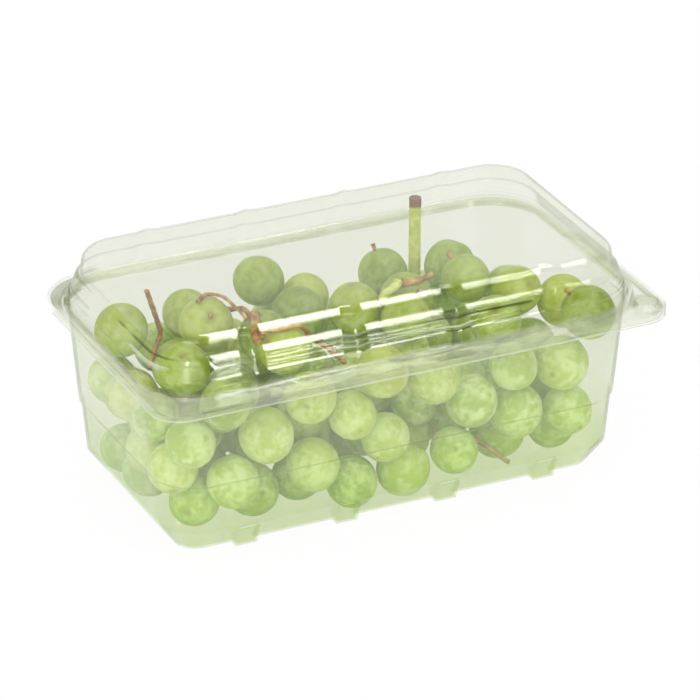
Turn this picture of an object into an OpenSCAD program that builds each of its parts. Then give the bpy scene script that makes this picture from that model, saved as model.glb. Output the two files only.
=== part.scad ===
// Clear thermoformed punnet with a hinged dome lid, holding loose bunches of green grapes.
// Millimetres. The origin is at the centre of the base, on the surface that it stands on.
// +X runs along the hinge, -Y is the opening side, +Z is up. The lid is shown closed.

/* [Pack] */
// Outside length of the rim, along the hinge
rim_l = 190; // [175:1:230]
// Outside width of the rim, from the opening side to the hinge
rim_w = 115.5; // [108:0.5:140]
// Height of the tray, from the base to the top of its rim
tray_h = 63.4; // [56:0.2:80]
// Thickness of the tray sheet
tray_t = 0.5; // [0.4:0.05:0.7]
// Thickness of the lid sheet
lid_t = 0.45; // [0.35:0.05:0.6]

/* [Rim] */
// Width of the rim at the two ends
land_end = 3.9; // [3.6:0.1:6]
// Width of the rim along the two long sides
land_side = 8.6; // [7.5:0.1:12]
// Corner radius of the rim on the opening side
rim_r_front = 11; // [8:1:16]
// Corner radius of the rim on the hinge side
rim_r_back = 20; // [12:1:24]
// Gap between the tray rim and the lid rim that lies on it
rim_gap = 0.3; // [0.2:0.05:0.5]
// Depth of the lip that hangs from the lid rim on three sides
lip_h = 3.2; // [2:0.1:5]
// Gap between that lip and the edge of the tray rim
lip_gap = 0.55; // [0.3:0.05:0.6]
// Depth of the turned-down edge of the tray rim inside the lip
turn_h = 2.1; // [1:0.1:3]
// Distance from the tray's mouth to its sealing bead
bead_in = 1; // [1:0.1:1.2]
// Height of the sealing bead that runs round the rim
bead_h = 1.4; // [0.8:0.1:2]
// Width of the sealing bead
bead_w = 1.4; // [1.2:0.1:1.4]
// Clearance between the tray's bead and the lid's hollow over it
bead_gap = 0.3; // [0.2:0.05:0.3]

/* [Tray] */
// Corner radius of the tray's mouth
mouth_r = 20; // [19:1:28]
// Inward lean of the walls for each millimetre down
lean = 0.09; // [0.05:0.01:0.11]
// Height of the chamfer round the base
foot_h = 9; // [6:0.5:12]
// Inward reach of the chamfer round the base
foot_in = 6.6; // [4:0.2:8]
// Height of the small step that runs round the walls
step_z = 28; // [20:1:34]
// Inward depth of that step
step_in = 0.8; // [0.3:0.1:1]
// Outward reach of the feet that stand out of the chamfer
lug_out = 3.6; // [2:0.2:4]
// Width of one foot
lug_w = 8; // [6:0.5:12]
// Height of the chamfer that shows above a foot
lug_top = 1.2; // [0.6:0.1:2]

/* [Lid] */
// Height of the lid's upright lower band above its rim
band_h = 6.3; // [5:0.1:10]
// Inward lean of that band over its height
band_in = 0.4; // [0.2:0.1:1]
// Height of the lid's lower tier
tier_low_h = 7; // [6:0.1:10]
// Inward reach of the lid's lower tier, up to the end of its rounded edge
tier_low_in = 4.2; // [3.6:0.1:4.6]
// Rounding of the edge of the lower tier
ledge_r = 3.2; // [2:0.1:3.4]
// Width of the ledge that is left between that edge and the upper tier
ledge_in = 0.3; // [0.2:0.1:0.8]
// Height of the lid's upper tier
tier_top_h = 6.9; // [6:0.1:12]
// Inward reach of the lid's upper tier, below the crown
tier_top_in = 0.3; // [0.1:0.1:1]
// Rounding of the shoulder over the lower band
shoulder_r = 1; // [0.8:0.1:1.6]
// Rounding between the upper tier and the flat top
crown_r = 4; // [2.5:0.1:4.4]
// Number of ribs along each long side
rib_n = 4; // [2:1:5]
// Distance between the ribs
rib_pitch = 38; // [30:1:42]
// Width of one rib where it leaves the lid wall
rib_w = 10; // [7:0.5:11]
// Width of the flat face of a rib, between its sloping sides
rib_face = 1.6; // [1.2:0.1:3]
// How far a rib stands out of the lid wall
rib_out = 1.3; // [0.7:0.1:1.6]

/* [Closure] */
// Reach of the opening tab beyond the end of the rim
tab_out = 4; // [3:0.5:6]
// Length of the opening tab along the end
tab_l = 78; // [60:1:84]
// Corner radius of the opening tab
tab_r = 11; // [8:0.5:12]
// Outside radius of the lid's snap button at its foot
button_r = 4.8; // [4.4:0.1:4.9]
// How much narrower the button is at its top
button_taper = 0.6; // [0.3:0.1:1]
// Height of the snap button's hollow above the lid rim
button_h = 2.6; // [2:0.1:4]
// Clearance between the two buttons
button_gap = 0.3; // [0.2:0.05:0.5]
// Distance from the button's foot to the outer edge of the tab
button_edge = 3.2; // [3:0.1:3.3]
// Distance from the button's foot to the front edge of the tab
button_front = 3; // [2.8:0.1:3.2]

/* [Hinge] */
// Length of the fold that carries the lid
fold_l = 144; // [100:1:146]
// Gap between the two halves along the fold
fold_gap = 0.15; // [0.1:0.05:0.3]
// Height of the bead beside the fold
fold_bead_h = 0.9; // [0.5:0.1:1.2]
// Width of the bead beside the fold
fold_bead_w = 2; // [1.5:0.1:2.4]
// Distance from the fold to that bead
fold_bead_in = 0.9; // [0.6:0.1:1.5]

/* [Grapes] */
// Mean radius of a grape
berry_r = 9.4; // [8.8:0.1:9.6]
// Most that a grape's radius departs from the mean
berry_dr = 0.6; // [0:0.1:0.8]
// Clearance that a grape keeps from its neighbours
berry_gap = 0.25; // [0.2:0.05:0.4]
// Height that the centres of the poured grapes may reach
heap_z = 48; // [40:1:52]
// How much lower the heap is for each millimetre towards the right end
heap_fall = 0.25; // [0:0.05:0.4]
// Radius of the thick green stem that stands up among the grapes
stem_r = 2.4; // [1.5:0.1:2.6]
// Gap between the top of that stem and the lid
stem_gap = 1.5; // [1:0.1:4]
// Radius of the thin stalks
twig_r = 1.1; // [0.8:0.1:1.4]

/* [Hidden] */
$fn = 64;
eps = 0.01;

// Corner centres of every ring lie on one rectangle, so the walls stay parallel
mouth_l = rim_l - 2 * land_end;
mouth_w = rim_w - 2 * land_side;
corner_x = mouth_l / 2 - mouth_r;
corner_y = mouth_w / 2 - mouth_r;

// Levels of the closed pack
lid_z = tray_h + rim_gap;
lip_z = lid_z + lid_t - lip_h;
band_z = lid_z + band_h;
top_z = band_z + tier_low_h + tier_top_h;

// Edges of the two rims and the fold between them
tray_edge = lid_t + lip_gap;
fold_y = rim_w / 2;

// Places of the ribs and feet along the long sides
rib_x = [for (k = [0 : rib_n - 1]) (k - (rib_n - 1) / 2) * rib_pitch];

// Place of the button on the tab
tab_y = -rim_w / 2;
button_x = rim_l / 2 + tab_out - button_edge - button_r;
button_y = tab_y + button_front + button_r;

// Points of an arc in a profile, from angle a to angle b
function arc(cx, cz, r, a, b, n = 6) =
  [for (k = [0 : n]) [cx + r * cos(a + (b - a) * k / n), cz + r * sin(a + (b - a) * k / n)]];

// A profile whose first number is the distance from the line of corner centres, swept
// round the rectangle of corner centres
module sweep(profile) {
  for (s = [0, 1]) rotate([0, 0, 180 * s]) {
    translate([corner_x, corner_y, 0]) rotate_extrude(angle = 90) polygon(profile);
    translate([-corner_x, corner_y, 0]) rotate([0, 0, 90]) rotate_extrude(angle = 90) polygon(profile);
    translate([-corner_x, corner_y, 0]) rotate([90, 0, 90]) linear_extrude(2 * corner_x) polygon(profile);
    translate([corner_x, corner_y, 0]) rotate([90, 0, 0]) linear_extrude(2 * corner_y) polygon(profile);
  }
}

// The same profile as a short straight piece of one long side, centred on x and moved out
module side_piece(profile, x, width, out, side) {
  mirror([0, side > 0 ? 0 : 1, 0])
    translate([x - width / 2, corner_y + out, 0])
      rotate([90, 0, 90]) linear_extrude(width) polygon(profile);
}

// Block that fills a form between the lines of corner centres
module core(z0, z1) {
  translate([-corner_x, -corner_y, z0]) cube([2 * corner_x, 2 * corner_y, z1 - z0]);
}

// Outline of the rim: two small corners at the opening, two large ones at the hinge
module rim_outline(inset) {
  x = rim_l / 2 - inset;
  y = rim_w / 2 - inset;
  f = rim_r_front - inset;
  b = rim_r_back - inset;
  union() {
    translate([-x + f, -y]) square([2 * x - 2 * f, 2 * y - b]);
    translate([-x, -y + f]) square([2 * x, 2 * y - f - b]);
    translate([-x + b, -y + f]) square([2 * x - 2 * b, 2 * y - f]);
    for (s = [-1, 1]) {
      translate([s * (x - f), -y + f]) circle(f);
      translate([s * (x - b), y - b]) circle(b);
    }
  }
}

// Outline of the tab at the opening corner on the right
module tab_outline(inset) {
  x0 = rim_l / 2 - rim_r_front;
  x1 = rim_l / 2 + tab_out - inset;
  y0 = tab_y + inset;
  y1 = tab_y + tab_l - inset;
  r = tab_r - inset;
  union() {
    translate([x0, y0]) square([x1 - r - x0, y1 - y0]);
    translate([x0, y0 + r]) square([x1 - x0, y1 - y0 - 2 * r]);
    for (y = [y0 + r, y1 - r]) translate([x1 - r, y]) circle(r);
  }
}

module flange_outline(inset) {
  rim_outline(inset);
  tab_outline(inset);
}

// An edge that hangs from a rim on the opening side and both ends, not along the fold
module hanging_edge(inset, t, z0, h) {
  translate([0, 0, z0]) linear_extrude(h) difference() {
    flange_outline(inset);
    flange_outline(inset + t);
    translate([-rim_l / 2, fold_y - rim_r_back]) square([rim_l, 2 * rim_r_back]);
  }
}

// Rounded rectangle at distance u from the corner centres
module mouth_outline(u) {
  union() {
    square([2 * (corner_x + u), 2 * corner_y], center = true);
    square([2 * corner_x, 2 * (corner_y + u)], center = true);
    for (sx = [-1, 1], sy = [-1, 1]) translate([sx * corner_x, sy * corner_y]) circle(u);
  }
}

// Section of a hollow ridge that stands on a sheet from u, w wide and h high
function ridge(u, w, h, z0) =
  [[u, z0], [u + w / 4, z0 + h], [u + w * 3 / 4, z0 + h], [u + w, z0]];

// Distance of the tray wall from the corner centres, just above the chamfer
function knee(u) = u - lean * (tray_h - foot_h) - step_in;

// Section of the tray's inside or outside, from the base up to the mouth
function tray_profile(u, z0) =
  let (low = step_z - step_in)
  [
    [0, z0], [knee(u) - foot_in, z0], [knee(u), z0 + foot_h],
    [u - lean * (tray_h - low) - step_in, low], [u - lean * (tray_h - step_z), step_z],
    [u, tray_h], [0, tray_h]
  ];

// Section of a foot: it leaves the chamfer and ends on the base
function lug_profile(u, z0) =
  let (top = z0 + foot_h - lug_top)
  [[0, z0], [knee(u) - foot_in + lug_out, z0], [knee(u), top], [0, top]];

module tray_form(u, z0, lug) {
  sweep(tray_profile(u, z0));
  core(z0, tray_h);
  for (side = [-1, 1], x = rib_x) side_piece(lug_profile(u, z0), x, lug, 0, side);
}

// Snap button: a round stud on the tray inside a round hollow of the lid
module button(z0, r, h) {
  translate([button_x, button_y, z0 - eps]) cylinder(h = h + eps, r1 = r, r2 = r - button_taper);
}

module tray() {
  bead_u = mouth_r + bead_in;
  stud_r = button_r - lid_t - button_gap;
  color([0.86, 0.90, 0.87, 0.45])
  difference() {
    union() {
      tray_form(mouth_r, 0, lug_w);
      translate([0, 0, tray_h - tray_t]) linear_extrude(tray_t) flange_outline(tray_edge);
      hanging_edge(tray_edge, tray_t, tray_h - turn_h, turn_h);
      translate([-fold_l / 2, 0, tray_h - tray_t]) cube([fold_l, fold_y - fold_gap, tray_t]);
      sweep(ridge(bead_u, bead_w, bead_h, tray_h - eps));
      button(tray_h, stud_r, button_h + rim_gap - button_gap);
    }
    tray_form(mouth_r - tray_t, tray_t, lug_w - 2 * tray_t);
    translate([0, 0, tray_h - eps]) linear_extrude(2 * eps) mouth_outline(mouth_r - tray_t);
    sweep(ridge(bead_u + tray_t / 2, bead_w - tray_t, bead_h - tray_t, tray_h - tray_t - eps));
    button(tray_h - tray_t, stud_r - tray_t, button_h + rim_gap - button_gap);
  }
}

// Section of the lid's dome: an upright band, a shoulder and two tiers up to the crown. The
// lower tier rounds over from a steep wall to an edge that is nearly flat
wall_a = 20;
edge_a = 65;
function dome_profile(u, t) =
  let (
    z2 = band_z + tier_low_h, z3 = top_z - t,
    u1 = u - band_in, u2 = u1 - tier_low_in, u3 = u2 - ledge_in, u4 = u3 - tier_top_in,
    s = shoulder_r - t, c = crown_r - t,
    edge_u = u2 + t - ledge_r * cos(edge_a),
    edge_z = z2 - ledge_in / tan(edge_a) - ledge_r * sin(edge_a)
  )
  concat(
    [[0, lid_z - eps], [u, lid_z - eps]],
    arc(u1 - s, band_z - shoulder_r, s, 0, 90 - wall_a, 4),
    arc(edge_u, edge_z, ledge_r - t, wall_a, edge_a, 5),
    [[u3, z2 - t * sin(edge_a)]],
    arc(u4 - c, z3 - c, c, 0, 90, 8),
    [[0, z3]]
  );

// The dome's section as a straight piece turned about the upright line where it meets the wall
module turned(profile, x, a) {
  translate([x, corner_y + mouth_r, 0]) rotate([0, 0, a]) translate([-1.5 * rib_w, -mouth_r, 0])
    rotate([90, 0, 90]) linear_extrude(3 * rib_w) polygon(profile);
}

// A rib of the dome: it slopes out of the wall from both sides up to a narrow face
module rib(profile, x, side) {
  slope = atan(2 * rib_out / (rib_w - rib_face));
  mirror([0, side > 0 ? 0 : 1, 0]) intersection() {
    turned(profile, x - rib_w / 2, slope);
    turned(profile, x + rib_w / 2, -slope);
    side_piece(profile, x, 2 * rib_w, rib_out, 1);
  }
}

module dome_form(u, t) {
  sweep(dome_profile(u, t));
  core(lid_z - eps, top_z - t);
  for (side = [-1, 1], x = rib_x) rib(dome_profile(u, t), x, side);
}

module lid() {
  // The dome starts a little outside the tray's mouth and just inside the bead
  lid_u = mouth_r + bead_in - bead_gap - lid_t;
  hollow_u = mouth_r + bead_in - bead_gap;
  hollow_w = bead_w + 2 * bead_gap;
  bead_y = fold_y - fold_bead_in - fold_bead_w;
  color([0.90, 0.94, 0.91, 0.35])
  difference() {
    union() {
      dome_form(lid_u, 0);
      translate([0, 0, lid_z]) linear_extrude(lid_t) flange_outline(0);
      hanging_edge(0, lid_t, lip_z, lip_h);
      sweep(ridge(hollow_u - lid_t, hollow_w + 2 * lid_t, bead_h + lid_t, lid_z + lid_t - eps));
      translate([-fold_l / 2, 0, 0]) rotate([90, 0, 90])
        linear_extrude(fold_l) polygon(ridge(bead_y, fold_bead_w, fold_bead_h, lid_z + lid_t - eps));
      button(lid_z, button_r, button_h + lid_t);
    }
    dome_form(lid_u - lid_t, lid_t);
    sweep(ridge(hollow_u, hollow_w, bead_h + bead_gap, lid_z - eps));
    button(lid_z, button_r - lid_t, button_h);
  }
}

// Lowest centre of a ball of radius r over the point (x, y), on the floor or on berries
function rest_z(x, y, r, placed) =
  max([
    tray_t + berry_gap + r,
    for (b = placed)
      let (s = r + b[3] + berry_gap, d = s * s - (x - b[0]) * (x - b[0]) - (y - b[1]) * (y - b[1]))
      if (d > 0) b[2] + sqrt(d)
  ]);

// Distance from the corner centres that a berry's centre may reach at height z
function reach(z, r) =
  let (
    s = r + berry_gap, k = foot_in / foot_h, start = knee(mouth_r - tray_t),
    c = (tier_low_in + ledge_in + tier_top_in + crown_r) / (top_z - band_z),
    wall = start + lean * (z - foot_h) - s * sqrt(1 + lean * lean),
    foot = start - foot_in + k * (z - tray_t) - s * sqrt(1 + k * k),
    cover = mouth_r - lid_t - band_in - c * (z - band_z) - s * sqrt(1 + c * c)
  )
  max(0, min(wall, foot, cover));

// The point (x, y) moved inside the walls for a berry at height z
function inside(x, y, z, r) =
  let (
    u = reach(z, r),
    px = max(-corner_x - u, min(corner_x + u, x)),
    py = max(-corner_y - u, min(corner_y + u, y)),
    dx = max(0, abs(px) - corner_x), dy = max(0, abs(py) - corner_y),
    d = sqrt(dx * dx + dy * dy), k = d > u && dx > 0 && dy > 0 ? u / d : 1
  )
  [sign(px) * (min(abs(px), corner_x) + dx * k), sign(py) * (min(abs(py), corner_y) + dy * k)];

// A berry that comes down at (x, y) and slides along the wall where it meets it
function settle(x, y, r, placed, z = tray_t, n = 6) =
  let (p = inside(x, y, z, r), low = rest_z(p[0], p[1], r, placed))
  n == 0 ? [p[0], p[1], max(z, low), r] :
  settle(x, y, r, placed, n > 4 ? low : (z + low) / 2, n - 1);

function lowest(list) =
  let (z = min([for (b = list) b[2]])) [for (b = list) if (b[2] <= z) b][0];

// A berry rolls a few millimetres downhill, in smaller and smaller steps
function roll(b, placed, step) =
  step < 0.4 ? b :
  roll(lowest(concat([b], [for (a = [0 : 60 : 300])
    settle(b[0] + step * cos(a), b[1] + step * sin(a), b[3], placed)])), placed, step / 2);

// Sizes of the grapes vary from one to the next without repeating
size_turn = 137;
function size_of(k) = berry_r + berry_dr * sin(k * size_turn);

// Smooth curve through the points of a route, m steps from each to the next
function smooth(p, m) =
  let (n = len(p) - 1)
  [for (i = [0 : n - 1], k = [0 : m - 1])
    between(p[max(i - 1, 0)], p[i], p[i + 1], p[min(i + 2, n)], k / m), p[n]];
function between(a, b, c, d, t) =
  b + t / 2 * (c - a + t * (2 * a - 5 * b + 4 * c - d + t * (3 * (b - c) + d - a)));

// The inner faces of the two long walls at the mouth, from which places are counted
front = -mouth_w / 2;
rear = mouth_w / 2;

// The low stalk lies in a pocket at the opening side, near the floor
low_route = smooth([
  [22, front + 25, 18], [28, front + 24.5, 16.5], [34, front + 23, 15],
  [39, front + 18, 12.5], [42, front + 13, 10], [45, front + 11, 7.5]
], 2);

// A route laid over the heap: it rests on the grapes and bridges the dips between them
function drape(route, r, placed) =
  let (p = smooth(route, 4), z = [for (q = p) rest_z(q[0], q[1], r, placed)], bend = 0.03)
  [for (i = [0 : len(p) - 1]) [p[i][0], p[i][1],
    max([for (j = [0 : len(p) - 1]) z[j] - bend * pow(norm(p[i] - p[j]), 2)])]];

// The same route turned up at its end round a bend of radius c, and on in a straight line
function turned_up(route, c, last) =
  let (
    n = len(route) - 1, p = route[n], q = route[n - 1], d = unit([p[0] - q[0], p[1] - q[1], 0]),
    arc_end = p + c * [d[0], d[1], 1]
  )
  concat(
    route,
    [for (a = [22.5 : 22.5 : 90]) p + c * [d[0] * sin(a), d[1] * sin(a), 1 - cos(a)]],
    [for (k = [1 : 6]) arc_end + (last - arc_end) * k / 6]
  );
function unit(v) = v / norm(v);

// The thick stem lies with its foot on the poured heap and then stands up to the lid
stem_x = 41;
stem_y = rear - 19;
stem_bend = 2 * stem_r;
bend_from = -stem_bend / sqrt(2);
stem_plan = [[-12, -10], [-8, -8], [bend_from, bend_from]];
function stem_route(heap) =
  turned_up(drape([for (d = stem_plan) [stem_x + d[0], stem_y + d[1]]], stem_r, heap),
            stem_bend, [stem_x, stem_y, top_z - lid_t - stem_gap]);

// A thin stalk lies on the heap at the left end and turns up into a leaning cut stub
end_plan = [[-72, rear - 42], [-66, rear - 34], [-61, rear - 26]];
stub = [-5, -1, 20];
function end_route(heap) =
  let (flat = drape(end_plan, twig_r, heap))
  turned_up(flat, 2 * twig_r, flat[len(flat) - 1] + stub);

// Whether a berry leaves room round the stalks, given as points with a radius
function balls(route, r) = [for (p = route) [p[0], p[1], p[2], r]];
function clear_of(b, stalks) =
  min([for (s = stalks) norm([b[0] - s[0], b[1] - s[1], b[2] - s[2]]) - b[3] - s[3]]) >= berry_gap;

// Grapes are laid in the order of a list of places: each one settles a few millimetres
// round its place, at the spot that comes nearest to it
function aim(p, r, placed, stalks) =
  let (
    tries = [for (d = [0, 2, 4, 6], a = [0 : 60 : 300])
      settle(p[0] + d * cos(a + 15 * d), p[1] + d * sin(a + 15 * d), r, placed)],
    good = [for (b = tries) if (clear_of(b, stalks)) b],
    miss = [for (b = good) norm([b[0], b[1], b[2]] - p)]
  )
  [for (i = [0 : len(good) - 1]) if (miss[i] <= min(miss)) good[i]][0];
function lay(places, placed, stalks, k = 0) =
  k == len(places) ? placed :
  let (b = aim(places[k], size_of(len(placed)), placed, stalks))
  lay(places, b == undef ? placed : concat(placed, [b]), stalks, k + 1);

// The poured heap stays below its height and leaves the low stalk's pocket open
pocket = [26, front + 35, 24];
heap_fall_x = 25;
low_balls = balls(low_route, twig_r);
function free(b) =
  b[2] < heap_z - heap_fall * max(0, b[0] - heap_fall_x)
  && !(b[0] > pocket[0] && b[1] < pocket[1] && b[2] < pocket[2]) && clear_of(b, low_balls);

// The rest of the heap is poured: each grape takes the lowest of several evenly spread places
pour_n = 110;
pour_tries = 18;
pour_roll = 3;
spread = [0.7549, 0.5698];
function part_of(v) = v - floor(v);
function pour(n, k, placed) =
  n == 0 ? placed :
  let (
    r = size_of(len(placed)),
    tries = [for (i = [k : k + pour_tries - 1])
      settle((part_of(0.5 + i * spread[0]) - 0.5) * mouth_l,
             (part_of(0.5 + i * spread[1]) - 0.5) * mouth_w, r, placed)],
    good = [for (b = tries) if (free(b)) b],
    best = len(good) > 0 ? roll(lowest(good), placed, pour_roll) : undef
  )
  pour(n - 1, k + pour_tries, best == undef || !free(best) ? placed : concat(placed, [best]));

// Places of the grapes that lie at the opening side, from the bottom up, most against the wall
at_wall = front + berry_r + 0.6;
front_places = [
  [-13, at_wall, 9], [7, at_wall, 9], [25, front + 12, 13], [-47, front + 26, 10], [-66, front + 27, 10],
  [-28, front + 30, 10], [49, front + 29, 10], [70, front + 28, 10], [-59, at_wall, 21], [-29, at_wall, 21],
  [0, at_wall, 20], [49, at_wall, 25], [69, at_wall, 20], [-80, front + 25, 25], [-47, at_wall, 37],
  [-10, at_wall, 34], [31, at_wall, 33], [-26, at_wall, 41], [-76, at_wall, 42], [66, at_wall, 37],
  [-63, at_wall, 53], [-8, at_wall, 49], [12, at_wall, 45], [48, at_wall, 44], [74, at_wall, 51]
];

// Places of the grapes that show on top of the heap
top_places = [
  [80, -12, 53], [47, -20, 57], [17, -12, 58], [-66, -8, 56], [71, 12, 52], [50, 25, 54],
  [-75, 24, 54], [-4, 26, 54], [-14, 10, 56], [27, 25, 58], [65, -10, 58], [26, 8, 56],
  [45, 2, 58], [-34, -6, 57], [4, 0, 60], [-52, 25, 60], [-50, 0, 60], [-34, -26, 59], [-24, 30, 61]
];

function poured() = pour(pour_n, 0, lay(front_places, [], low_balls));
function all_berries() =
  let (heap = poured())
  lay(top_places, heap, concat(balls(stem_route(heap), stem_r), balls(end_route(heap), twig_r)));

// The three bunches are told apart by where their grapes lie
module bunch(x0, x1) {
  for (b = all_berries())
    if (b[0] >= x0 && b[0] < x1) translate([b[0], b[1], b[2]]) sphere(b[3], $fn = 32);
}
bunch_x = [-30, 33];
module grapes_left() {
  color([0.66, 0.75, 0.36]) bunch(-rim_l, bunch_x[0]);
}
module grapes_middle() {
  color([0.70, 0.78, 0.42]) bunch(bunch_x[0], bunch_x[1]);
}
module grapes_right() {
  color([0.62, 0.72, 0.33]) bunch(bunch_x[1], rim_l);
}

// A round stalk along a route, eight-sided, from radius r0 to radius r1
function ring(p, d, r, ref) =
  let (s = unit(cross(d, ref)), t = unit(cross(s, d)))
  [for (k = [0 : 45 : 315]) p + r * (cos(k) * s + sin(k) * t)];
module stalk(p, r0, r1, ref) {
  n = len(p) - 1;
  rings = [for (i = [0 : n])
    each ring(p[i], p[min(i + 1, n)] - p[max(i - 1, 0)], r0 + (r1 - r0) * i / n, ref)];
  sides = [for (i = [0 : n - 1], k = [0 : 7]) let (a = 8 * i + k, b = 8 * i + (k + 1) % 8)
    each [[a, a + 8, b + 8], [a, b + 8, b]]];
  polyhedron(rings, concat([[for (k = [0 : 7]) k]], sides, [[for (k = [7 : -1 : 0]) 8 * n + k]]));
}

module stalk_middle() {
  color([0.55, 0.62, 0.28]) stalk(stem_route(poured()), stem_r, stem_r, [1, -1, 0]);
}

module stalk_end() {
  color([0.46, 0.36, 0.20]) stalk(end_route(poured()), twig_r, twig_r, [1, 1, 0]);
}

module stalk_left() {
  color([0.50, 0.38, 0.20])
    stalk(drape([[-45, 20], [-41, 12], [-39, 0], [-41, -13], [-44, -26]], twig_r, all_berries()),
          twig_r, twig_r, [0, 0, 1]);
}

module stalk_front() {
  color([0.48, 0.36, 0.16])
    stalk(drape([[-36, -14], [-24, -17], [-9, -18]], twig_r, all_berries()), twig_r, twig_r, [0, 0, 1]);
}

module stalk_low() {
  color([0.62, 0.52, 0.40]) stalk(low_route, twig_r, twig_r, [0, 0, 1]);
}

tray();
lid();
grapes_left();
grapes_middle();
grapes_right();
stalk_middle();
stalk_end();
stalk_left();
stalk_front();
stalk_low();
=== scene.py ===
# %% [markdown]
# # A clear fruit punnet full of green grapes
#
# The object is a hinged pack of thin clear plastic sheet, closed over about a hundred green grapes.
# The sheet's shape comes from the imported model. This lesson adds what a model of solids can't hold:
# how clear sheet catches light, how a grape's skin glows and dulls, and the thin dry stalks.

# %% The frame
import math
import random

import bmesh
import bpy
from mathutils import Matrix, Vector
from mathutils.bvhtree import BVHTree


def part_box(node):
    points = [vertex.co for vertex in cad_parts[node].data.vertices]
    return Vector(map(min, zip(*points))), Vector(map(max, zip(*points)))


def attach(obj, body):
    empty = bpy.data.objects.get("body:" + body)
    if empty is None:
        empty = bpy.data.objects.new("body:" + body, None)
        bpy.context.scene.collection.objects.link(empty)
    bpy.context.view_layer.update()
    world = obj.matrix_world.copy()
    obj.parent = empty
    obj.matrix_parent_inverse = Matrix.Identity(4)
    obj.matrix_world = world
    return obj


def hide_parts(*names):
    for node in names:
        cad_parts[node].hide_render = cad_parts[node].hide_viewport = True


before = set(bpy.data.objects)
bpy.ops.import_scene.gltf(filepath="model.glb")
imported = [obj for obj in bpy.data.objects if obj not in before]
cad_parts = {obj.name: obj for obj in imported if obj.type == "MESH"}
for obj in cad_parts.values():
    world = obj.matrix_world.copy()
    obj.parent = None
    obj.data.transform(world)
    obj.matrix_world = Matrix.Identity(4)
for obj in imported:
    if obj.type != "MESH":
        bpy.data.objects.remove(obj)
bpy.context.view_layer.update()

MM = 0.001

# %% [markdown]
# ## Finding the grapes
#
# Each bunch is one node that holds many separate balls. To dress every grape, its centre and radius
# are needed. They could be typed in, but then they would go wrong as soon as the heap changes, so
# they are read from the mesh: faces that hang together make one ball, and its box gives the centre.


# %% Grapes from the bunches
def balls_of(node):
    """Centre and radius of each separate ball in a CAD node."""
    mesh = bmesh.new()
    mesh.from_mesh(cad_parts[node].data)
    bmesh.ops.remove_doubles(mesh, verts=mesh.verts, dist=0.01 * MM)
    seen, found = set(), []
    for start in mesh.verts:
        if start in seen:
            continue
        group, waiting = [], [start]
        seen.add(start)
        while waiting:
            v = waiting.pop()
            group.append(v.co)
            for edge in v.link_edges:
                other = edge.other_vert(v)
                if other not in seen:
                    seen.add(other)
                    waiting.append(other)
        low = Vector([min(c[i] for c in group) for i in range(3)])
        high = Vector([max(c[i] for c in group) for i in range(3)])
        found.append(((low + high) / 2, max(high - low) / 2))
    mesh.free()
    return found


bunches = {side: balls_of("grapes_" + side) for side in ("left", "middle", "right")}
every_grape = [grape for side in bunches for grape in bunches[side]]
print("grapes in each bunch", {side: len(bunches[side]) for side in bunches})

# %% [markdown]
# ## Small tools
#
# Materials here are built from nodes in code. A short helper that makes a node, sets its numbers and
# links its inputs keeps each recipe readable.


# %% Tools for materials and meshes
def new_material(name):
    """A node material that holds only its output."""
    material = bpy.data.materials.new(name)
    material.use_nodes = True
    nodes = material.node_tree.nodes
    nodes.clear()
    output = nodes.new("ShaderNodeOutputMaterial")
    return material, nodes, output


def add(nodes, kind, settings=None, **inputs):
    """A node with its settings, and its inputs set to values or linked to sockets.

    An input is given by its name, with _ for a space, or by its number, as in _0.
    """
    node = nodes.new("ShaderNode" + kind)
    for key, value in (settings or {}).items():
        setattr(node, key, value)
    for key, value in inputs.items():
        socket = node.inputs[int(key[1:])] if key[0] == "_" else node.inputs[key.replace("_", " ")]
        if isinstance(value, bpy.types.NodeSocket):
            node.id_data.links.new(value, socket)
        else:
            socket.default_value = value
    return node


def ramp(nodes, factor, *stops):
    """A colour ramp from (position, colour) pairs."""
    node = add(nodes, "ValToRGB", _0=factor)
    while len(node.color_ramp.elements) < len(stops):
        node.color_ramp.elements.new(0.5)
    for element, (position, colour) in zip(node.color_ramp.elements, stops):
        element.position = position
        element.color = (*colour, 1)
    return node.outputs["Color"]


def ranged(nodes, value, low, high, to_low=0.0, to_high=1.0):
    """A value moved from the range low to high into another range, and held inside it."""
    return add(nodes, "MapRange", Value=value, From_Min=low, From_Max=high,
               To_Min=to_low, To_Max=to_high).outputs["Result"]


def blended(nodes, share, start, end):
    """A colour that goes from a colour socket or value to a plain colour."""
    return add(nodes, "Mix", {"data_type": "RGBA"}, _0=share, _6=start, _7=(*end, 1)).outputs[2]


def to_object(name, mesh, material, body):
    """A finished bmesh as a smooth object that rides on a body."""
    data = bpy.data.meshes.new(name)
    mesh.to_mesh(data)
    mesh.free()
    data.shade_smooth()
    data.materials.append(material)
    piece = bpy.data.objects.new(name, data)
    bpy.context.scene.collection.objects.link(piece)
    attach(piece, body)
    return piece


print("tools ready")

# %% [markdown]
# ## Clear sheet
#
# The pack is formed from sheet a third of a millimetre thick. Real glass shaders bend light at each
# face, and lamps then can't reach the fruit except by noisy caustics. A thin sheet hardly bends what
# is behind it, so each face here lets light straight through with a slight tint, which is stronger
# where the sheet is seen edge on, and adds the mirror-like gloss of its surface.
#
# Forming draws the warm sheet down the walls and leaves fine level lines near the rim. Noise stretched
# along the wall gives them. It ripples the gloss, and the dark and pale that the lines make by bending
# the light is painted: painted shade in the colour let through, and painted light as more haze.
#
# The green is a shortcut. Real sheet is colourless and takes its green from light that the fruit
# scatters and bends into it, which this simple sheet can't do. So a milky haze and a tint are mixed
# in, greener low down, in colours chosen by comparing with the photograph. An empty tray would have
# to be made colourless again.


# %% Clear sheet material
FACE_ON_GLOSS, EDGE_ON_GLOSS = 0.035, 0.9


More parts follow.
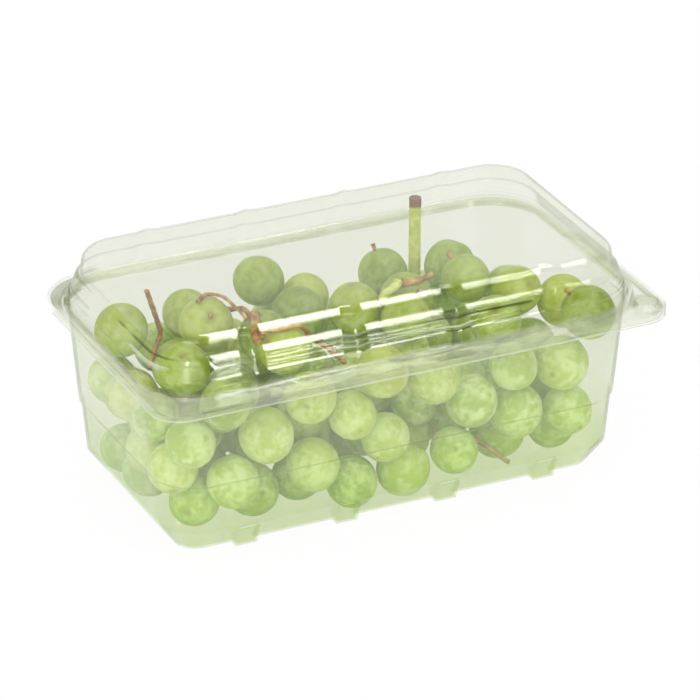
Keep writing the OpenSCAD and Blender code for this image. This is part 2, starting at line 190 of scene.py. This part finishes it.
def sheet_gloss(nodes):
    """Share of mirror gloss: small face on, and close to 1 where the sheet is seen edge on."""
    edge_on = add(nodes, "LayerWeight", Blend=0.5).outputs["Facing"]
    rise = add(nodes, "Math", {"operation": "POWER"}, _0=edge_on, _1=5.0).outputs[0]
    return edge_on, ranged(nodes, rise, 0.0, 1.0, FACE_ON_GLOSS, EDGE_ON_GLOSS)


DRAW_ALONG = 9      # features per metre along a draw line: few, so that the lines run nearly straight
PATCHES = 55        # patches per metre in which the lines show
CUT_BAND = 0.35 * MM


def draw_lines_painted_shade_and_light(nodes, low, high, fine):
    """Level lines from -1 to 1 in the front and left walls, between two heights: below 0 they carry painted
    shade, above 0 painted light.

    Also gives the smooth waves behind the lines, which ripple the gloss.
    """
    place = add(nodes, "TexCoord").outputs["Object"]
    long_way = add(nodes, "Mapping", Vector=place, Scale=(DRAW_ALONG, DRAW_ALONG, fine)).outputs["Vector"]
    lines = add(nodes, "TexNoise", Vector=long_way, Scale=1.0, Detail=3.0, Roughness=0.6).outputs["Fac"]
    waves = ranged(nodes, lines, 0.30, 0.70, -1.0)
    sharp = add(nodes, "Math", {"operation": "POWER"}, _0=waves, _1=3.0).outputs[0]
    axes = add(nodes, "SeparateXYZ", Vector=place)
    above = ranged(nodes, axes.outputs["Z"], low, low + 2 * MM)
    below = ranged(nodes, axes.outputs["Z"], high, high - 4 * MM)
    front = ranged(nodes, axes.outputs["Y"], -20 * MM, -35 * MM)
    left = ranged(nodes, axes.outputs["X"], -72 * MM, -80 * MM)
    near = add(nodes, "Math", {"operation": "MAXIMUM"}, _0=front, _1=left).outputs[0]
    patch = add(nodes, "TexNoise", Vector=place, Scale=PATCHES, Detail=1.0).outputs["Fac"]
    broken = ranged(nodes, patch, 0.42, 0.54)
    for part in (above, below, near, broken):
        sharp = add(nodes, "Math", {"operation": "MULTIPLY"}, _0=sharp, _1=part).outputs[0]
    return waves, sharp


def seen_through(nodes, look, height, edge_on, lines):
    """The colour of light that comes through: tinted low down and edge on, and darkened in the lines as
    painted shade.
    """
    face_on = ramp(nodes, height, (0.0, look["foot_tint"]), (1.0, look["tint"]))
    edge = ranged(nodes, edge_on, 0.70, 1.0)
    tint = blended(nodes, edge, face_on, look["edge_tint"])
    dark = ranged(nodes, lines, -0.03, -0.5, 0.0, look["line_depth"])
    return blended(nodes, dark, tint, LINE_SHADE)


def milkiness(nodes, look, axis_z, lines):
    """How milky the sheet is: its haze, more in pale lines as painted light, less at the feet, and most on the
    cut edge, where it is partly a painted highlight.
    """
    pale = ranged(nodes, lines, 0.03, 0.5, look["haze"], look["haze"] + 0.6 * look["line_depth"])
    above_feet = ranged(nodes, axis_z, 2 * MM, 8 * MM, 0.3)
    misty = add(nodes, "Math", {"operation": "MULTIPLY"}, _0=pale, _1=above_feet).outputs[0]
    cut = add(nodes, "Math", {"operation": "COMPARE"}, _0=axis_z, _1=look["cut_level"], _2=CUT_BAND).outputs[0]
    return add(nodes, "Math", {"operation": "MULTIPLY_ADD"}, _0=cut, _1=CUT_MILK_AND_PAINTED_HIGHLIGHT, _2=misty).outputs[0]


# Colour of the dark draw lines: painted shade.
LINE_SHADE = (0.20, 0.24, 0.09)
# Milky share of the band along the cut edge: partly the cut's own milkiness, partly a painted highlight of the
# light the edge catches.
CUT_MILK_AND_PAINTED_HIGHLIGHT = 0.45
SHINE = (0.95, 0.97, 0.90, 1)


def clear_sheet(name, look):
    """Thin clear plastic: a see-through tint, a surface gloss, a little haze and draw lines of painted shade
    and light.
    """
    material, nodes, output = new_material(name)
    edge_on, gloss = sheet_gloss(nodes)
    # The lines carry painted shade and painted light; the waves ripple the gloss.
    waves, lines = draw_lines_painted_shade_and_light(nodes, *look["line_band"])
    axis_z = add(nodes, "SeparateXYZ", Vector=add(nodes, "TexCoord").outputs["Object"]).outputs["Z"]
    height = ranged(nodes, axis_z, 5 * MM, 30 * MM)
    through = add(nodes, "BsdfTransparent", Color=seen_through(nodes, look, height, edge_on, lines))
    mist = ramp(nodes, height, (0.0, look["foot_mist"]), (1.0, look["mist"]))
    milk = add(nodes, "BsdfDiffuse", Color=mist)
    glow = add(nodes, "BsdfTranslucent", Color=mist)
    cloud = add(nodes, "MixShader", _0=0.5, _1=milk.outputs[0], _2=glow.outputs[0])
    whitened = milkiness(nodes, look, axis_z, lines)
    body = add(nodes, "MixShader", _0=whitened, _1=through.outputs[0], _2=cloud.outputs[0])
    bump = add(nodes, "Bump", Strength=0.25, Distance=0.25 * MM, Height=waves).outputs["Normal"]
    shine = add(nodes, "BsdfGlossy", Color=SHINE, Roughness=look["roughness"], Normal=bump)
    surface = add(nodes, "MixShader", _0=gloss, _1=body.outputs[0], _2=shine.outputs[0])
    material.node_tree.links.new(surface.outputs[0], output.inputs["Surface"])
    return material


print("sheet recipe ready")

# %% The lid's sheet and the tray's
rim_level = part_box("tray")[1][2]
lip_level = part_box("lid")[0][2]
lid_sheet = clear_sheet("clear lid sheet", {
    "tint": (0.966, 0.969, 0.946), "foot_tint": (0.966, 0.969, 0.946), "edge_tint": (0.30, 0.32, 0.26),
    "haze": 0.004, "mist": (0.92, 0.94, 0.88), "foot_mist": (0.92, 0.94, 0.88), "roughness": 0.03,
    "line_band": (rim_level - 3 * MM, rim_level + 12 * MM, 1000), "line_depth": 0.8, "cut_level": lip_level})
tray_sheet = clear_sheet("clear tray sheet", {
    "tint": (0.972, 0.976, 0.950), "foot_tint": (0.91, 0.94, 0.82), "edge_tint": (0.36, 0.40, 0.30),
    "haze": 0.10, "mist": (0.92, 0.96, 0.84), "foot_mist": (0.84, 1.0, 0.62), "roughness": 0.05,
    "line_band": (rim_level - 7 * MM, rim_level + 3 * MM, 1100), "line_depth": 0.7, "cut_level": rim_level})
for node, material in (("lid", lid_sheet), ("tray", tray_sheet)):
    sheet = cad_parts[node]
    sheet.data.materials.clear()
    sheet.data.materials.append(material)
    print(node, "faces", len(sheet.data.polygons))

# %% [markdown]
# ## Grape skin
#
# A green grape is a bag of clear pulp in a thin skin. Light goes in, wanders and comes out again, so
# its shaded side still glows. Subsurface scattering does that. Over it lies the bloom, a pale dust
# that rubs off in patches, made with noise that also dulls the gloss.
#
# In the photograph the grapes above the rim look greener and darker than those behind the tray's
# wall. One picture can't say how much of that is skin and how much is sheet, so the grapes simply
# turn darker and greener, with less pale bloom, higher up here. That is fitted to the picture, and
# not a fact about grapes.


# %% Grape skin material
HEAP_PALE_BELOW, HEAP_DARK_ABOVE = 40 * MM, 62 * MM  # heights between which the grapes turn darker and greener, with less pale bloom
DUST = (0.74, 0.86, 0.42)
SPECK = (0.30, 0.36, 0.06)
TIP = (0.20, 0.11, 0.03)
PULP_DEPTH = 5 * MM


def grape_skin():
    """Translucent green skin with a patchy pale bloom and small dark specks."""
    material, nodes, output = new_material("grape skin")
    place = add(nodes, "TexCoord").outputs["Object"]
    tone = add(nodes, "Attribute", {"attribute_name": "tone"}).outputs["Fac"]
    pole = add(nodes, "Attribute", {"attribute_name": "pole"}).outputs["Fac"]
    height = add(nodes, "SeparateXYZ", Vector=place).outputs["Z"]
    # Between two heights the grapes turn darker and greener, with less pale bloom.
    higher_up = ranged(nodes, height, HEAP_PALE_BELOW, HEAP_DARK_ABOVE)
    low_flesh = ramp(nodes, tone, (0.0, (0.38, 0.53, 0.10)), (0.5, (0.47, 0.62, 0.12)), (1.0, (0.60, 0.68, 0.16)))
    high_flesh = ramp(nodes, tone, (0.0, (0.22, 0.31, 0.02)), (0.5, (0.31, 0.41, 0.03)), (1.0, (0.45, 0.52, 0.06)))
    flesh = add(nodes, "Mix", {"data_type": "RGBA"}, _0=higher_up, _6=low_flesh, _7=high_flesh).outputs[2]
    cloud = add(nodes, "TexNoise", Vector=place, Scale=115, Detail=2, Roughness=0.5).outputs["Fac"]
    fleck = add(nodes, "TexNoise", Vector=place, Scale=380, Detail=3, Roughness=0.6).outputs["Fac"]
    both = add(nodes, "Math", {"operation": "MULTIPLY_ADD"}, _0=fleck, _1=0.9, _2=cloud).outputs[0]
    bloom = ranged(nodes, both, 0.84, 1.08)
    share = ranged(nodes, higher_up, 0.0, 1.0, 0.80, 0.24)
    powder = add(nodes, "Math", {"operation": "MULTIPLY"}, _0=bloom, _1=share).outputs[0]
    skin = blended(nodes, powder, flesh, DUST)
    speck_noise = add(nodes, "TexVoronoi", Vector=place, Scale=700).outputs["Distance"]
    speck = ranged(nodes, speck_noise, 0.12, 0.04)
    speck_soft = add(nodes, "Math", {"operation": "MULTIPLY"}, _0=speck, _1=0.35).outputs[0]
    colour = blended(nodes, pole, blended(nodes, speck_soft, skin, SPECK), TIP)
    rough = ranged(nodes, bloom, 0.0, 1.0, 0.34, 0.60)
    ripple = add(nodes, "TexNoise", Vector=place, Scale=420, Detail=3).outputs["Fac"]
    bump = add(nodes, "Bump", Strength=0.15, Distance=0.4 * MM, Height=ripple).outputs["Normal"]
    shader = add(nodes, "BsdfPrincipled", Base_Color=colour, Roughness=rough, Normal=bump)
    shader.inputs["Subsurface Weight"].default_value = 0.5
    shader.inputs["Subsurface Radius"].default_value = (0.8, 1.0, 0.30)
    shader.inputs["Subsurface Scale"].default_value = PULP_DEPTH
    shader.inputs["Specular IOR Level"].default_value = 0.3
    material.node_tree.links.new(shader.outputs[0], output.inputs["Surface"])
    return material


skin = grape_skin()
print("grape skin made")

# %% [markdown]
# ## Grapes
#
# A grape is nearly round: a little longer from its stalk to its tip, with a shallow dimple where the
# stalk sits and a dark dot at the tip. Each ball of the bunch is replaced by such a form. The form
# stays inside the ball, so that no grape pushes through the sheet or its neighbour.

# %% Room round a grape
STUB = 2.2 * MM
DIRECTIONS_TRIED = 24
dice = random.Random(11)
walls = [BVHTree.FromPolygons([v.co for v in data.vertices], [p.vertices for p in data.polygons])
         for data in (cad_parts[node].data for node in ("tray", "lid"))]


def room_at(point, centre):
    """Distance from a point to the nearest other grape or sheet."""
    near = min((point - c).length - r for c, r in every_grape if (c - centre).length > 0.1 * MM)
    return min([near] + [wall.find_nearest(point)[3] for wall in walls])


def freest_direction(centre, radius):
    """The direction in which a grape has most room for its stalk, and how much."""
    best, best_room = Vector((0, 0, 1)), -1
    for _ in range(DIRECTIONS_TRIED):
        way = Vector((dice.gauss(0, 1), dice.gauss(0, 1), dice.gauss(0.3, 1))).normalized()
        room = room_at(centre + way * (radius + STUB), centre)
        if room > best_room:
            best, best_room = way, room
    return best, best_room


print("walls read", len(walls))

# %% One grape
GRAPE_AROUND, GRAPE_DOWN = 30, 20
GRAPE_SLIM = 0.965
LUMP_SIZE = 0.006
DIMPLE_DEPTH, DIMPLE_WIDTH = 0.07, 0.30
TIP_DOT, STALK_DOT = 0.12, 0.22


def grow_grape(mesh, tone_layer, pole_layer, centre, radius):
    """Adds one grape to a mesh, with its stalk end in a free direction."""
    way, room = freest_direction(centre, radius)
    turn = way.to_track_quat("Z", "Y")
    tone = dice.random()
    lumps = [(dice.uniform(-1, 1), dice.uniform(0, 6.28), dice.choice((2, 3))) for _ in range(3)]
    rings = []
    for row in range(GRAPE_DOWN + 1):
        polar = math.pi * row / GRAPE_DOWN
        count = 1 if row in (0, GRAPE_DOWN) else GRAPE_AROUND
        ring = []
        for step in range(count):
            around = 2 * math.pi * step / GRAPE_AROUND
            lump = sum(a * math.sin(n * around + b) for a, b, n in lumps) * LUMP_SIZE * math.sin(polar)
            dent = DIMPLE_DEPTH * math.exp(-(polar / DIMPLE_WIDTH) ** 2)
            wide = radius * GRAPE_SLIM * (1 + lump - 0.01)
            tall = radius * (1 - dent)
            local = Vector((wide * math.sin(polar) * math.cos(around),
                            wide * math.sin(polar) * math.sin(around), tall * math.cos(polar)))
            vert = mesh.verts.new(centre + turn @ local)
            vert[tone_layer] = tone
            at_tip, at_stalk = 0.6 - (math.pi - polar) / TIP_DOT, 0.5 * (1 - polar / STALK_DOT)
            vert[pole_layer] = max(0.0, at_tip, at_stalk)
            ring.append(vert)
        rings.append(ring)
    for upper, lower in zip(rings, rings[1:]):
        for step in range(GRAPE_AROUND):
            after = (step + 1) % GRAPE_AROUND
            if len(upper) == 1:
                mesh.faces.new((upper[0], lower[step], lower[after]))
            elif len(lower) == 1:
                mesh.faces.new((upper[step], lower[0], upper[after]))
            else:
                mesh.faces.new((upper[step], lower[step], lower[after], upper[after]))
    return way, room


print("a grape has", GRAPE_AROUND, "by", GRAPE_DOWN, "faces")

# %% The three bunches
stalk_ends = []
for side, grapes in bunches.items():
    mesh = bmesh.new()
    tone_layer = mesh.verts.layers.float.new("tone")
    pole_layer = mesh.verts.layers.float.new("pole")
    for centre, radius in grapes:
        way, room = grow_grape(mesh, tone_layer, pole_layer, centre, radius)
        stalk_ends.append((centre, radius, way, room))
    bunch = to_object("bunch_" + side, mesh, skin, "tray")
    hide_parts("grapes_" + side)
    print(bunch.name, "faces", len(bunch.data.polygons))

# %% [markdown]
# ## Stalks
#
# A bunch hangs on a woody stalk that dries from green to brown once it is cut. The thick ones are
# solids of the model. They keep their place here and get a skin that is smoothed and roughened by
# modifiers, so that they look grown and not bent from rod.


# %% Stalk materials
DRY_END = (0.22, 0.10, 0.04)


def stalk_material(name, dark, mid, light, dry_from=None):
    """Fibrous plant stalk, mottled along its length, and dry and brown above a height."""
    material, nodes, output = new_material(name)
    place = add(nodes, "TexCoord").outputs["Object"]
    streak = add(nodes, "TexNoise", Vector=place, Scale=300, Detail=5, Roughness=0.65).outputs["Fac"]
    colour = ramp(nodes, streak, (0.32, dark), (0.5, mid), (0.66, light))
    if dry_from:
        height = add(nodes, "SeparateXYZ", Vector=place).outputs["Z"]
        ragged = add(nodes, "Math", {"operation": "MULTIPLY_ADD"}, _0=streak, _1=3 * MM, _2=height).outputs[0]
        colour = blended(nodes, ranged(nodes, ragged, dry_from, dry_from + 1 * MM), colour, DRY_END)
    bump = add(nodes, "Bump", Strength=0.5, Distance=0.5 * MM, Height=streak).outputs["Normal"]
    shader = add(nodes, "BsdfPrincipled", Base_Color=colour, Roughness=0.6, Normal=bump)
    material.node_tree.links.new(shader.outputs[0], output.inputs["Surface"])
    return material


stem_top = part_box("stalk_middle")[1][2]
green_stalk = stalk_material("green stalk", (0.50, 0.60, 0.10), (0.66, 0.72, 0.17), (0.84, 0.84, 0.34),
                             dry_from=stem_top - 2.5 * MM)
brown_stalk = stalk_material("brown stalk", (0.16, 0.06, 0.005), (0.42, 0.20, 0.03), (0.66, 0.45, 0.10))
pale_stalk = stalk_material("pale stalk", (0.36, 0.17, 0.09), (0.52, 0.31, 0.17), (0.66, 0.50, 0.28))
cut_pith = stalk_material("cut pith", (0.50, 0.30, 0.20), (0.66, 0.46, 0.32), (0.80, 0.66, 0.48))
print("stalk materials made")

# %% Stalks of the model
bark = bpy.data.textures.new("bark", "CLOUDS")
bark.noise_scale = 1.6 * MM
VOXEL = 0.35 * MM
BARK_HEIGHT = 0.5 * MM
stalk_finish = (("stalk_middle", green_stalk, "green_stalk"), ("stalk_end", brown_stalk, "brown_stalk"),
                ("stalk_left", brown_stalk, "brown_stalk"), ("stalk_front", brown_stalk, "brown_stalk"),
                ("stalk_low", pale_stalk, "pale_stalk"))
for node, material, slot in stalk_finish:
    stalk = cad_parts[node]
    stalk.data.materials.clear()
    stalk.data.materials.append(material)
    finer = stalk.modifiers.new("finer", "REMESH")
    finer.mode, finer.voxel_size, finer.use_smooth_shade = "VOXEL", VOXEL, True
    softer = stalk.modifiers.new("softer", "SMOOTH")
    softer.factor, softer.iterations = 0.6, 6
    rougher = stalk.modifiers.new("rougher", "DISPLACE")
    rougher.texture, rougher.strength, rougher.mid_level = bark, BARK_HEIGHT, 0.7
print("stalks dressed")

# %% [markdown]
# ## Twigs and stubs
#
# Thin twigs lie over the heap, and a few of the grapes keep the stub they hung from. A twig is a tube
# swept along a route. Its route is given in plan only, and its height is worked out from the grapes
# under it, so that it rests on them wherever they are. A dry twig is stiff: it bridges the dips
# between grapes, which the highest and then the mean of its neighbours' heights gives.

# %% A twig
TWIG_AROUND = 10
END_SWELL = 1.15
BRIDGE, SMOOTHING = 4, 7


def rest_height(x, y, radius):
    """Height at which a twig of this radius rests on the grapes over a point in plan."""
    tops = []
    for c, r in every_grape:
        reach = (r + radius) ** 2 - (x - c.x) ** 2 - (y - c.y) ** 2
        if reach > 0:
            tops.append(c.z + math.sqrt(reach))
    return max(tops, default=0.0)


def smooth_route(points, parts=6):
    """A smooth curve through points, with a few parts between each pair."""
    ends = [2 * points[0] - points[1]] + points + [2 * points[-1] - points[-2]]
    route = []
    for a, b, c, d in zip(ends, ends[1:], ends[2:], ends[3:]):
        for k in range(parts):
            t = k / parts
            route.append(0.5 * (2 * b + (c - a) * t + (2 * a - 5 * b + 4 * c - d) * t ** 2
                                + (3 * b - a - 3 * c + d) * t ** 3))
    return route + [points[-1]]


def sweep_twig(mesh, route, radius, taper=0.25, knots=0.16):
    """Adds a closed, knotty tube along a route to a mesh."""
    rings = []
    for i, point in enumerate(route):
        along = (route[min(i + 1, len(route) - 1)] - route[max(i - 1, 0)]).normalized()
        turn = along.to_track_quat("Z", "Y")
        wide = radius * (1 - taper * i / len(route)) * (1 + knots * dice.uniform(-1, 1))
        if i in (0, len(route) - 1):
            wide *= END_SWELL
        rings.append([mesh.verts.new(point + turn @ (wide * Vector((math.cos(a), math.sin(a), 0))))
                      for a in (2 * math.pi * k / TWIG_AROUND for k in range(TWIG_AROUND))])
    for upper, lower in zip(rings, rings[1:]):
        for k in range(TWIG_AROUND):
            after = (k + 1) % TWIG_AROUND
            mesh.faces.new((upper[k], upper[after], lower[after], lower[k]))
    mesh.faces.new(reversed(rings[0]))
    mesh.faces.new(rings[-1])


def lay_twig(mesh, plan, radius, **shape):
    """A twig that rests on the heap along a plan in millimetres."""
    plan = smooth_route([Vector((x * MM, y * MM, 0)) for x, y in plan])
    rest = [rest_height(p.x, p.y, radius) for p in plan]
    level = [max(rest[max(0, i - BRIDGE):i + BRIDGE + 1]) for i in range(len(rest))]
    near = [level[max(0, i - SMOOTHING):i + SMOOTHING + 1] for i in range(len(level))]
    even = [sum(heights) / len(heights) for heights in near]
    sweep_twig(mesh, [Vector((p.x, p.y, max(a, b))) for p, a, b in zip(plan, rest, even)], radius, **shape)
    return max(even)


print("a twig has", TWIG_AROUND, "sides")

# %% Twigs over the heap
twigs = (
    ("twig_thick", brown_stalk, 1.9, ((-39, -8), (-41, -14), (-44, -20), (-46, -26))),
    ("twig_front", brown_stalk, 0.9, ((-45, -25), (-39, -28), (-31, -27), (-24, -22), (-16, -14), (-8, -8))),
    ("twig_arc", brown_stalk, 0.7, ((-56, 1), (-51, 5), (-46, 3), (-43, -2), (-42, -8))),
    ("twig_fork", brown_stalk, 1.3, ((22, 1), (26, 0), (30, 1), (34, 3))),
    ("twig_branch", green_stalk, 1.7, ((21, 2), (18, 0), (14, -2), (11, -5))),
    ("twig_pith", cut_pith, 1.3, ((26, -3), (28, -3.5), (30, -3.5))),
)
for name, material, radius, plan in twigs:
    mesh = bmesh.new()
    top = lay_twig(mesh, plan, radius * MM)
    twig = to_object(name, mesh, material, "tray")
    print(name, "faces", len(twig.data.polygons), "highest", round(top * 1000, 1))

# %% Stubs on the grapes
STUB_SHARE = 0.10
STUB_RADIUS, STUB_ROOM, STUB_LEAN = 0.6 * MM, 1.2 * MM, 0.6 * MM
mesh = bmesh.new()
stubs = 0
for centre, radius, way, room in stalk_ends:
    if room < STUB_ROOM or dice.random() > STUB_SHARE:
        continue
    start = centre + way * radius * 0.9
    lean = Vector((dice.uniform(-1, 1), dice.uniform(-1, 1), dice.uniform(-1, 1))) * STUB_LEAN
    tip = centre + way * (radius + STUB) + lean
    sweep_twig(mesh, smooth_route([start, (start + tip) / 2 + lean / 2, tip], 3), STUB_RADIUS, taper=-0.3)
    stubs += 1
to_object("grape_stubs", mesh, brown_stalk, "tray")
print("stubs", stubs, "of", len(stalk_ends))

# %% [markdown]
# ## Floor and light
#
# The pack stands on white, as in a catalogue. The floor is white card that shows a faint shadow, and
# the camera sees it and the world at full white. Mirrored rays see that white too where they leave
# towards the back. In front they see a dim studio, much dimmer than the light that falls on the
# fruit, because otherwise the sheet would shine all over. A real studio can't be both at once.

# %% Floor
WHITE = (1, 1, 1, 1)
CARD = (0.92, 0.92, 0.92, 1)
PLAIN_SHARE = 0.95
FLOOR_SIZE = 6.0
FLOOR_DROP = 0.05 * MM


def seen_directly(nodes):
    """1 for rays from the camera, in a mirror or through clear sheet."""
    path = add(nodes, "LightPath")
    first = add(nodes, "Math", {"operation": "MAXIMUM"}, _0=path.outputs["Is Camera Ray"],
                _1=path.outputs["Is Glossy Ray"]).outputs[0]
    return add(nodes, "Math", {"operation": "MAXIMUM"}, _0=first,
               _1=path.outputs["Is Transmission Ray"]).outputs[0]


def white_card():
    """White card: lit as card, and mostly plain white to the eye."""
    material, nodes, output = new_material("white card")
    card = add(nodes, "BsdfDiffuse", Color=CARD)
    white = add(nodes, "Emission", Color=WHITE, Strength=1.0)
    share = add(nodes, "Math", {"operation": "MULTIPLY"}, _0=seen_directly(nodes), _1=PLAIN_SHARE).outputs[0]
    mixed = add(nodes, "MixShader", _0=share, _1=card.outputs[0], _2=white.outputs[0])
    material.node_tree.links.new(mixed.outputs[0], output.inputs["Surface"])
    return material


mesh = bmesh.new()
bmesh.ops.create_grid(mesh, x_segments=1, y_segments=1, size=FLOOR_SIZE / 2)
floor_data = bpy.data.meshes.new("floor")
mesh.to_mesh(floor_data)
mesh.free()
floor_data.materials.append(white_card())
floor = bpy.data.objects.new("floor", floor_data)
floor.location = (0, 0, -FLOOR_DROP)
bpy.context.scene.collection.objects.link(floor)
print("floor laid")

# %% World
AMBIENT, MIRRORED_STUDIO = 0.95, 0.14
world = bpy.data.worlds.new("studio")
bpy.context.scene.world = world
world.use_nodes = True
world_nodes = world.node_tree.nodes
world_nodes.clear()
direction = add(world_nodes, "TexCoord").outputs["Generated"]
depth = add(world_nodes, "SeparateXYZ", Vector=direction).outputs["Y"]
behind = ranged(world_nodes, depth, -0.25, 0.15)
path = add(world_nodes, "LightPath")
mirrored = add(world_nodes, "Math", {"operation": "MAXIMUM"}, _0=path.outputs["Is Glossy Ray"],
               _1=path.outputs["Is Transmission Ray"]).outputs[0]
mirrored = add(world_nodes, "Math", {"operation": "MULTIPLY"}, _0=mirrored, _1=behind).outputs[0]
seen = add(world_nodes, "Math", {"operation": "MAXIMUM"}, _0=path.outputs["Is Camera Ray"],
           _1=mirrored).outputs[0]
strength = ranged(world_nodes, path.outputs["Is Glossy Ray"], 0.0, 1.0, AMBIENT, MIRRORED_STUDIO)
soft_light = add(world_nodes, "Background", Color=WHITE, Strength=strength)
plain_white = add(world_nodes, "Background", Color=WHITE, Strength=1.0)
either = add(world_nodes, "MixShader", _0=seen, _1=soft_light.outputs[0], _2=plain_white.outputs[0])
world_out = add(world_nodes, "OutputWorld")
world.node_tree.links.new(either.outputs[0], world_out.inputs["Surface"])
print("world lit at", AMBIENT)

# %% [markdown]
# The bright bars along the front edges of the lid are a long strip lamp in the mirror of the
# sheet, placed where the photograph's bars ask for it. Its light would be far too much for the
# fruit, so it lights nothing and only shows in gloss, and so does a small square lamp for the front
# left corner. One wide soft lamp from the front left lights the fruit.

# %% Lamps
LAMPS_AROUND = Vector((0, 0, 0.07))


def softbox(name, toward, distance, wide, tall, radiance, mirror_only=False):
    """A rectangular lamp that faces the pack, wide along the hinge, of a given brightness."""
    way = Vector(toward).normalized()
    data = bpy.data.lights.new(name, "AREA")
    data.shape = "RECTANGLE"
    data.size, data.size_y = wide, tall
    data.energy = radiance * math.pi * wide * tall
    lamp = bpy.data.objects.new(name, data)
    side = (Vector((1, 0, 0)) - way * way.x).normalized()
    turn = Matrix((side, way.cross(side), way)).transposed().to_4x4()
    lamp.matrix_world = Matrix.Translation(LAMPS_AROUND + way * distance) @ turn
    lamp.visible_diffuse = not mirror_only
    bpy.context.scene.collection.objects.link(lamp)
    return lamp


softbox("strip", (0.366, -0.41, 0.835), 1.5, 0.26, 3.4, 16, mirror_only=True)
softbox("corner", (-0.53, -0.64, 0.545), 1.5, 0.22, 0.22, 16, mirror_only=True)
softbox("key", (-0.45, -0.75, 0.5), 2.0, 1.4, 1.4, 2.8)
print("lamps placed")

# %% [markdown]
# ## Camera
#
# The view is a long lens from the front left, a little above. Its numbers were worked out from the
# corners of the rim and the foot as the photograph shows them.

# %% Camera
YAW, PITCH, ROLL = math.radians(-25.48), math.radians(26.44), math.radians(0.18)
CAMERA_DISTANCE = 1819 * MM
AIM_RIGHT, AIM_UP, RIM_LEVEL = -1.12 * MM, 15.4 * MM, 61 * MM
FOCAL_PIXELS, PHOTO_PIXELS, SENSOR = 5238, 700, 36

back = Vector((math.sin(YAW) * math.cos(PITCH), -math.cos(YAW) * math.cos(PITCH), math.sin(PITCH)))
right = Vector((math.cos(YAW), math.sin(YAW), 0))
up = back.cross(right)
right, up = (math.cos(ROLL) * right + math.sin(ROLL) * up,
             math.cos(ROLL) * up - math.sin(ROLL) * right)
camera_data = bpy.data.cameras.new("camera")
camera_data.sensor_width = SENSOR
camera_data.lens = FOCAL_PIXELS / PHOTO_PIXELS * SENSOR
camera_data.clip_end = 20  # metres: beyond the floor's far edge
camera = bpy.data.objects.new("camera", camera_data)
eye = back * CAMERA_DISTANCE - right * AIM_RIGHT - up * AIM_UP + Vector((0, 0, RIM_LEVEL))
camera.matrix_world = Matrix.Translation(eye) @ Matrix((right, up, back)).transposed().to_4x4()
bpy.context.scene.collection.objects.link(camera)
bpy.context.scene.camera = camera
print("lens", round(camera_data.lens, 1), "mm, camera at", [round(c, 3) for c in eye])

# %% Last settings
scene = bpy.context.scene
scene.view_settings.view_transform = "Standard"
scene.cycles.max_bounces = 16
scene.cycles.transparent_max_bounces = 48
scene.cycles.transmission_bounces = 16
bpy.context.view_layer.update()
